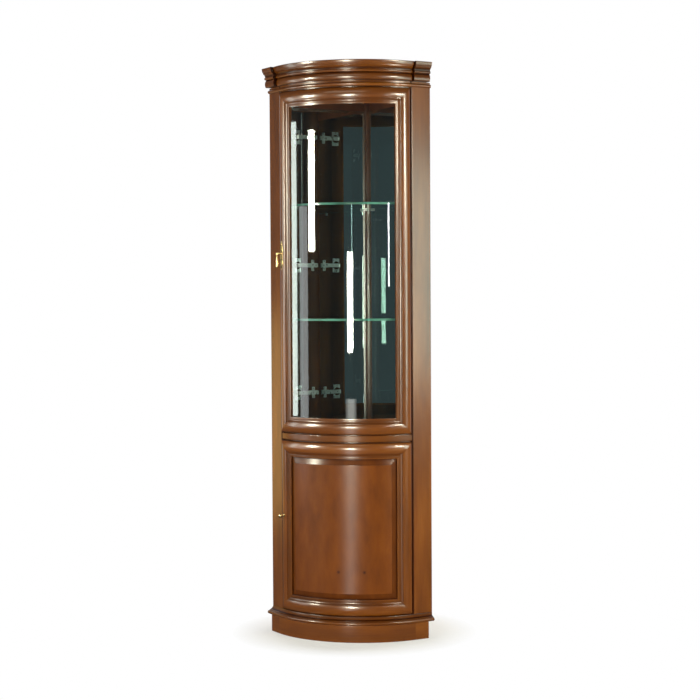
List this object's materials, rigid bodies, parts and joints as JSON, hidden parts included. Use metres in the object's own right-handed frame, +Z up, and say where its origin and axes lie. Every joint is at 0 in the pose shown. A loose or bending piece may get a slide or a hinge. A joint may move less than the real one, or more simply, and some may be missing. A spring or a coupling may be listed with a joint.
{
  "type": "corner display cabinet",
  "caption": "Tall bow-fronted corner cabinet: a glazed display case with glass shelves above a cupboard with a raised-panel door.",
  "frame": {"origin": "on the floor, at the middle of the cabinet's plan", "axes": "+Z up, -Y to the front, +X to the right seen from the front; the wall corner is at +Y"},
  "size_m": [0.6462, 0.4981, 2.1],
  "materials": {
    "brass": "aged satin",
    "catch": "matt brown",
    "cherry_wood": "warm reddish-brown semi-gloss lacquer",
    "glass": "clear polished",
    "mirror": "silvered, bevelled edge",
    "raw_wood": "unfinished softwood",
    "steel": "nickel plated"
  },
  "bodies": {
    "carcass": {"base_board": "cherry_wood", "base_moulding_bow": "cherry_wood", "base_moulding_left": "cherry_wood", "base_moulding_right": "cherry_wood", "corner_post": "cherry_wood", "crown_bow": "cherry_wood", "crown_glue_blocks": "raw_wood", "crown_left": "cherry_wood", "crown_right": "cherry_wood", "cupboard_catch": "catch", "cupboard_door_stops": "cherry_wood", "cupboard_hinge_arms": "steel", "cupboard_hinge_plates": "steel", "cupboard_shelf": "cherry_wood", "display_catch": "catch", "display_deck": "cherry_wood", "display_door_stops": "cherry_wood", "display_hinge_arms": "steel", "display_hinge_plates": "steel", "frieze_bead_bow": "cherry_wood", "frieze_bead_left": "cherry_wood", "frieze_bead_right": "cherry_wood", "frieze_rail": "cherry_wood", "left_back_panel": "cherry_wood", "left_mirror": "mirror", "left_return": "cherry_wood", "lower_glass_shelf": "glass", "mid_rail": "cherry_wood", "plinth_front": "cherry_wood", "plinth_left_back": "cherry_wood", "plinth_left_return": "cherry_wood", "plinth_right_back": "cherry_wood", "plinth_right_return": "cherry_wood", "right_back_panel": "cherry_wood", "right_mirror": "mirror", "right_return": "cherry_wood", "shelf_pins": "steel", "top_board": "cherry_wood", "upper_glass_shelf": "glass"},
    "display_door": {"display_door_bottom_rail": "cherry_wood", "display_door_left_stile": "cherry_wood", "display_door_right_stile": "cherry_wood", "display_door_top_rail": "cherry_wood", "door_glass": "glass", "glazing_beads": "cherry_wood", "display_hinge_cups": "steel", "display_strike_plate": "steel", "pull_plate": "brass", "pull_pin": "brass"},
    "cupboard_door": {"cupboard_door_bottom_rail": "cherry_wood", "cupboard_door_left_stile": "cherry_wood", "cupboard_door_right_stile": "cherry_wood", "cupboard_door_top_rail": "cherry_wood", "raised_panel": "cherry_wood", "cupboard_hinge_cups": "steel", "cupboard_strike_plate": "steel", "knob": "brass"},
    "drop_handle": {"drop_handle": "brass"}
  },
  "joints": [
    {"name": "display_door_hinge", "type": "hinge", "parent": "carcass", "child": "display_door", "pos_m": [0.24819, -0.10813, 1.3795], "axis": [0, 0, 1], "range_deg": [0, 100]},
    {"name": "cupboard_door_hinge", "type": "hinge", "parent": "carcass", "child": "cupboard_door", "pos_m": [0.24819, -0.10813, 0.4085], "axis": [0, 0, 1], "range_deg": [0, 100]},
    {"name": "drop_handle_swing", "type": "hinge", "parent": "display_door", "child": "drop_handle", "pos_m": [-0.24941, -0.14519, 1.413], "axis": [-0.756, 0.6545, 0], "range_deg": [-15, 80]}
  ]
}
